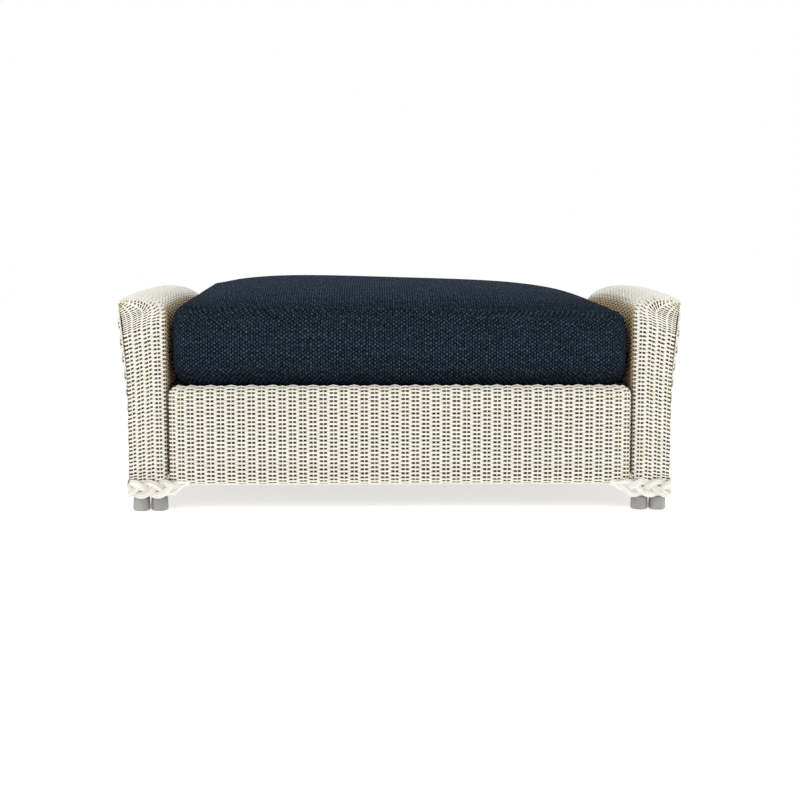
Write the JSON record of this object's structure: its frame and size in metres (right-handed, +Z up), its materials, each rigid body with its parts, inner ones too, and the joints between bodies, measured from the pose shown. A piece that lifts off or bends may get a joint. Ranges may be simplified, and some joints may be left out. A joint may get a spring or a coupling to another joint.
{
  "type": "woven outdoor ottoman footstool",
  "caption": "Low woven patio ottoman with rolled arms at both ends, plaited trim, paired metal tube feet and a loose boxed seat cushion",
  "frame": {"origin": "on the floor, under the middle of the ottoman", "axes": "+X to the right along the long side, -Y is the front with the pictured apron, +Z up"},
  "size_m": [1.0412, 0.6426, 0.4231],
  "materials": {
    "satin_tube": "satin",
    "painted_tube": "satin",
    "glide": "satin",
    "strap": "matte",
    "weave": "satin",
    "plait": "satin",
    "cushion_cloth": "matte",
    "foam": "matte",
    "zip_tape": "matte",
    "zip_metal": "satin"
  },
  "bodies": {
    "base": {"base_bow_front": "satin_tube", "base_bow_back": "satin_tube", "outer_hoop_left": "satin_tube", "outer_hoop_right": "satin_tube", "seat_rail_front": "painted_tube", "seat_rail_back": "painted_tube", "inner_hoop_left": "painted_tube", "inner_hoop_right": "painted_tube", "arm_crest_frame_left": "painted_tube", "arm_crest_frame_right": "painted_tube", "seat_side_rail_left": "painted_tube", "seat_side_rail_right": "painted_tube", "foot_side_rail_left": "painted_tube", "foot_side_rail_right": "painted_tube", "glide_inner_front_left": "glide", "glide_inner_front_right": "glide", "glide_inner_back_left": "glide", "glide_inner_back_right": "glide", "glide_outer_front_left": "glide", "glide_outer_front_right": "glide", "glide_outer_back_left": "glide", "glide_outer_back_right": "glide", "long_strap_1": "strap", "long_strap_2": "strap", "long_strap_3": "strap", "long_strap_4": "strap", "cross_strap_1": "strap", "cross_strap_2": "strap", "cross_strap_3": "strap", "cross_strap_4": "strap", "cross_strap_5": "strap", "cross_strap_6": "strap", "cross_strap_7": "strap", "front_apron": "weave", "back_apron": "weave", "arm_skin_left": "weave", "arm_skin_right": "weave", "side_panel_left": "weave", "side_panel_right": "weave", "foot_plait_left_a": "plait", "foot_plait_left_b": "plait", "foot_plait_left_c": "plait", "foot_plait_right_a": "plait", "foot_plait_right_b": "plait", "foot_plait_right_c": "plait", "side_plait_left_a": "plait", "side_plait_left_b": "plait", "side_plait_left_c": "plait", "side_plait_right_a": "plait", "side_plait_right_b": "plait", "side_plait_right_c": "plait"},
    "cushion": {"cushion_cover": "cushion_cloth", "cushion_foam": "foam", "zip_chain": "zip_tape"},
    "slider": {"zip_slider": "zip_metal"},
    "pull": {"zip_pull": "zip_metal"}
  },
  "joints": [
    {"name": "cushion_lift", "type": "slide", "parent": "base", "child": "cushion", "axis": [0, 0, 1], "range_m": [0, 0.25]},
    {"name": "zip_run", "type": "slide", "parent": "cushion", "child": "slider", "axis": [-1, 0, 0], "range_m": [0, 0.538]},
    {"name": "pull_swing", "type": "hinge", "parent": "slider", "child": "pull", "pos_m": [0.269, 0.3107, 0.3031], "axis": [1, 0, 0], "range_deg": [0, 150]}
  ]
}
